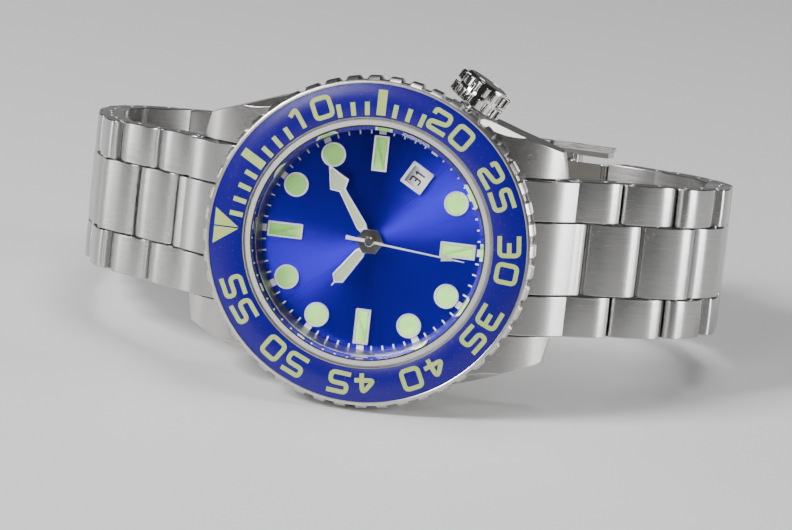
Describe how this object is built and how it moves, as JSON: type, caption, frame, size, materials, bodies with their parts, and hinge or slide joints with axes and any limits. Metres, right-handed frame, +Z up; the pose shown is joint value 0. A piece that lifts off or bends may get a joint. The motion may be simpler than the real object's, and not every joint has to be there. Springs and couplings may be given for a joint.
{
  "type": "wristwatch",
  "caption": "Automatic diver's wristwatch with a turning toothed bezel, blue dial and three-row steel bracelet with a folding clasp, lying on its side.",
  "frame": {"origin": "centre of the footprint's bounding box on the surface the watch lies on", "axes": "+X from 12 to 6 o'clock, +Y from the dial towards the clasp, +Z up, from the 9 o'clock side towards 3 o'clock"},
  "size_m": [0.096, 0.073, 0.0466],
  "materials": {
    "brushed_steel": "satin, brushed along the bracelet",
    "polished_steel": "polished",
    "movement_steel": "brushed nickel plate",
    "brass": "gilt",
    "bezel_blue": "gloss blue insert",
    "dial_blue": "sunburst blue",
    "lume": "matte luminous paint",
    "crystal": "clear",
    "seal": "matte",
    "white_plastic": "matte"
  },
  "bodies": {
    "case": {"mid_case": "brushed_steel", "case_back": "polished_steel", "case_back_gasket": "seal", "crystal": "crystal", "crystal_gasket": "seal", "rehaut_ring": "polished_steel", "dial": "dial_blue", "hour_markers": "polished_steel", "hour_marker_lume": "lume", "movement_holder": "white_plastic", "main_plate": "movement_steel", "train_bridge": "movement_steel", "crown_tube": "polished_steel", "end_link_12": "brushed_steel", "end_link_6": "brushed_steel", "lug_spring_bars": "polished_steel", "bezel_click_spring": "polished_steel"},
    "bezel": {"bezel_ring": "polished_steel", "bezel_insert": "bezel_blue", "bezel_lume": "lume"},
    "clutch": {"clutch_wheel": "polished_steel"},
    "crown_and_stem": {"crown": "polished_steel", "winding_stem": "polished_steel"},
    "hours": {"hour_hand": "polished_steel", "hour_wheel": "brass"},
    "minutes": {"minute_hand": "polished_steel", "centre_wheel": "brass"},
    "seconds": {"seconds_hand": "polished_steel", "fourth_wheel": "brass"},
    "third": {"third_wheel": "brass"},
    "escape": {"escape_wheel": "brass"},
    "pallet": {"pallet_fork": "movement_steel"},
    "balance": {"balance_wheel": "brass"},
    "barrel": {"mainspring_barrel": "brass"},
    "motion_work": {"minute_wheel": "brass"},
    "date": {"date_ring": "white_plastic"},
    "winding_rotor": {"rotor": "movement_steel"},
    "link_12_1": {"link_12_1": "brushed_steel"},
    "link_12_2": {"link_12_2": "brushed_steel"},
    "link_12_3": {"link_12_3": "brushed_steel"},
    "link_12_4": {"link_12_4": "brushed_steel"},
    "link_12_5": {"link_12_5": "brushed_steel"},
    "link_12_6": {"link_12_6": "brushed_steel"},
    "link_12_7": {"link_12_7": "brushed_steel"},
    "link_12_8": {"link_12_8": "brushed_steel"},
    "link_12_9": {"link_12_9": "brushed_steel"},
    "link_12_10": {"link_12_10": "brushed_steel"},
    "link_6_1": {"link_6_1": "brushed_steel"},
    "link_6_2": {"link_6_2": "brushed_steel"},
    "link_6_3": {"link_6_3": "brushed_steel"},
    "link_6_4": {"link_6_4": "brushed_steel"},
    "link_6_5": {"link_6_5": "brushed_steel"},
    "link_6_6": {"link_6_6": "brushed_steel"},
    "link_6_7": {"link_6_7": "brushed_steel"},
    "blade_inner": {"clasp_blade_inner": "polished_steel"},
    "blade_outer": {"clasp_blade_outer": "polished_steel"},
    "clasp_cover": {"clasp_cover": "brushed_steel"},
    "safety_flap": {"safety_flap": "brushed_steel"},
    "button_upper": {"push_button_upper": "polished_steel"},
    "button_lower": {"push_button_lower": "polished_steel"}
  },
  "joints": [
    {"name": "bezel_turn", "type": "hinge", "parent": "case", "child": "bezel", "pos_m": [-0.00012, -0.03048, 0.02277], "axis": [0, -0.9865, 0.1639], "continuous": true},
    {"name": "crown_turn", "type": "hinge", "parent": "case", "child": "clutch", "pos_m": [-0.00012, -0.02481, 0.02183], "axis": [0.5, 0.142, 0.8543], "continuous": true},
    {"name": "crown_pull", "type": "slide", "parent": "clutch", "child": "crown_and_stem", "axis": [0.5, 0.142, 0.8543], "range_m": [0, 0.0015]},
    {"name": "seconds_turn", "type": "hinge", "parent": "case", "child": "seconds", "pos_m": [-0.00012, -0.02752, 0.02228], "axis": [0, -0.9865, 0.1639], "continuous": true},
    {"name": "minutes_turn", "type": "hinge", "parent": "case", "child": "minutes", "pos_m": [-0.00012, -0.02752, 0.02228], "axis": [0, -0.9865, 0.1639], "continuous": true},
    {"name": "hours_turn", "type": "hinge", "parent": "case", "child": "hours", "pos_m": [-0.00012, -0.02752, 0.02228], "axis": [0, -0.9865, 0.1639], "continuous": true},
    {"name": "third_turn", "type": "hinge", "parent": "case", "child": "third", "pos_m": [-0.00237, -0.02816, 0.01843], "axis": [0, -0.9865, 0.1639], "continuous": true},
    {"name": "escape_turn", "type": "hinge", "parent": "case", "child": "escape", "pos_m": [0.00193, -0.0281, 0.01878], "axis": [0, -0.9865, 0.1639], "continuous": true},
    {"name": "barrel_turn", "type": "hinge", "parent": "case", "child": "barrel", "pos_m": [0.00281, -0.02669, 0.02728], "axis": [0, -0.9865, 0.1639], "continuous": true},
    {"name": "motion_work_turn", "type": "hinge", "parent": "case", "child": "motion_work", "pos_m": [-0.00412, -0.02752, 0.02228], "axis": [0, -0.9865, 0.1639], "continuous": true},
    {"name": "balance_swing", "type": "hinge", "parent": "case", "child": "balance", "pos_m": [0.00796, -0.028, 0.01938], "axis": [0, -0.9865, 0.1639], "range_deg": [-135, 135]},
    {"name": "pallet_rock", "type": "hinge", "parent": "case", "child": "pallet", "pos_m": [0.00521, -0.02805, 0.01911], "axis": [0, -0.9865, 0.1639], "range_deg": [-5, 5]},
    {"name": "date_turn", "type": "hinge", "parent": "case", "child": "date", "pos_m": [-0.00012, -0.02752, 0.02228], "axis": [0, -0.9865, 0.1639], "continuous": true},
    {"name": "rotor_swing", "type": "hinge", "parent": "case", "child": "winding_rotor", "pos_m": [-0.00012, -0.02752, 0.02228], "axis": [0, -0.9865, 0.1639], "continuous": true},
    {"name": "link_12_1_turn", "type": "hinge", "parent": "case", "child": "link_12_1", "pos_m": [-0.02702, -0.02042, 0.0211], "axis": [0, 0.1639, 0.9865], "range_deg": [0, 20]},
    {"name": "link_12_2_turn", "type": "hinge", "parent": "link_12_1", "child": "link_12_2", "pos_m": [-0.03376, -0.01484, 0.02017], "axis": [0, 0.1639, 0.9865], "range_deg": [0, 3]},
    {"name": "link_12_3_turn", "type": "hinge", "parent": "link_12_2", "child": "link_12_3", "pos_m": [-0.0404, -0.00914, 0.01922], "axis": [0, 0.1639, 0.9865], "range_deg": [0, 29]},
    {"name": "link_12_4_turn", "type": "hinge", "parent": "link_12_3", "child": "link_12_4", "pos_m": [-0.04341, -0.00099, 0.01787], "axis": [0, 0.1639, 0.9865], "range_deg": [0, 8]},
    {"name": "link_12_5_turn", "type": "hinge", "parent": "link_12_4", "child": "link_12_5", "pos_m": [-0.04524, 0.0075, 0.01646], "axis": [0, 0.1639, 0.9865], "range_deg": [0, 8]},
    {"name": "link_12_6_turn", "type": "hinge", "parent": "link_12_5", "child": "link_12_6", "pos_m": [-0.04585, 0.01616, 0.01502], "axis": [0, 0.1639, 0.9865], "range_deg": [0, 20]},
    {"name": "link_12_7_turn", "type": "hinge", "parent": "link_12_6", "child": "link_12_7", "pos_m": [-0.04343, 0.02451, 0.01363], "axis": [0, 0.1639, 0.9865], "range_deg": [0, 30]},
    {"name": "link_12_8_turn", "type": "hinge", "parent": "link_12_7", "child": "link_12_8", "pos_m": [-0.0371, 0.03054, 0.01263], "axis": [0, 0.1639, 0.9865], "range_deg": [0, 28]},
    {"name": "link_12_9_turn", "type": "hinge", "parent": "link_12_8", "child": "link_12_9", "pos_m": [-0.02864, 0.03293, 0.01223], "axis": [0, 0.1639, 0.9865], "range_deg": [0, 22]},
    {"name": "link_12_10_turn", "type": "hinge", "parent": "link_12_9", "child": "link_12_10", "pos_m": [-0.01989, 0.03202, 0.01238], "axis": [0, 0.1639, 0.9865], "range_deg": [0, 3]},
    {"name": "link_6_1_turn", "type": "hinge", "parent": "case", "child": "link_6_1", "pos_m": [0.02678, -0.02042, 0.0211], "axis": [0, -0.1639, -0.9865], "range_deg": [0, 13]},
    {"name": "link_6_2_turn", "type": "hinge", "parent": "link_6_1", "child": "link_6_2", "pos_m": [0.03416, -0.01569, 0.02031], "axis": [0, -0.1639, -0.9865], "range_deg": [0, 3]},
    {"name": "link_6_3_turn", "type": "hinge", "parent": "link_6_2", "child": "link_6_3", "pos_m": [0.04137, -0.01071, 0.01949], "axis": [0, -0.1639, -0.9865], "range_deg": [0, 27]},
    {"name": "link_6_4_turn", "type": "hinge", "parent": "link_6_3", "child": "link_6_4", "pos_m": [0.0455, -0.00305, 0.01821], "axis": [0, -0.1639, -0.9865], "range_deg": [0, 26]},
    {"name": "link_6_5_turn", "type": "hinge", "parent": "link_6_4", "child": "link_6_5", "pos_m": [0.04581, 0.00563, 0.01677], "axis": [0, -0.1639, -0.9865], "range_deg": [0, 26]},
    {"name": "link_6_6_turn", "type": "hinge", "parent": "link_6_5", "child": "link_6_6", "pos_m": [0.04223, 0.01356, 0.01545], "axis": [0, -0.1639, -0.9865], "range_deg": [0, 24]},
    {"name": "link_6_7_turn", "type": "hinge", "parent": "link_6_6", "child": "link_6_7", "pos_m": [0.03569, 0.01937, 0.01449], "axis": [0, -0.1639, -0.9865], "range_deg": [0, 16]},
    {"name": "clasp_to_link", "type": "hinge", "parent": "link_6_7", "child": "blade_inner", "pos_m": [0.02778, 0.02317, 0.01385], "axis": [0, -0.1639, -0.9865], "range_deg": [0, 8]},
    {"name": "blade_fold", "type": "hinge", "parent": "blade_inner", "child": "blade_outer", "pos_m": [-0.00426, 0.02997, 0.01273], "axis": [0, 0.1639, 0.9865], "range_deg": [0, 110]},
    {"name": "cover_open", "type": "hinge", "parent": "blade_outer", "child": "clasp_cover", "pos_m": [0.02296, 0.02546, 0.01348], "axis": [0, -0.1639, -0.9865], "range_deg": [0, 90]},
    {"name": "flap_open", "type": "hinge", "parent": "clasp_cover", "child": "safety_flap", "pos_m": [0.01662, 0.02826, 0.01301], "axis": [0, 0.1639, 0.9865], "range_deg": [0, 100]},
    {"name": "button_upper_press", "type": "slide", "parent": "clasp_cover", "child": "button_upper", "axis": [0, -0.1639, -0.9865], "range_m": [0, 0.0005], "stiffness_N_per_m": 400},
    {"name": "button_lower_press", "type": "slide", "parent": "clasp_cover", "child": "button_lower", "axis": [0, 0.1639, 0.9865], "range_m": [0, 0.0005], "stiffness_N_per_m": 400}
  ],
  "couplings": [
    {"joint": "third_turn", "follows": "seconds_turn", "ratio": -0.125},
    {"joint": "minutes_turn", "follows": "seconds_turn", "ratio": 0.016667},
    {"joint": "hours_turn", "follows": "seconds_turn", "ratio": 0.0013889},
    {"joint": "motion_work_turn", "follows": "seconds_turn", "ratio": -0.0055556},
    {"joint": "barrel_turn", "follows": "seconds_turn", "ratio": -0.0020833},
    {"joint": "escape_turn", "follows": "seconds_turn", "ratio": -12}
  ]
}
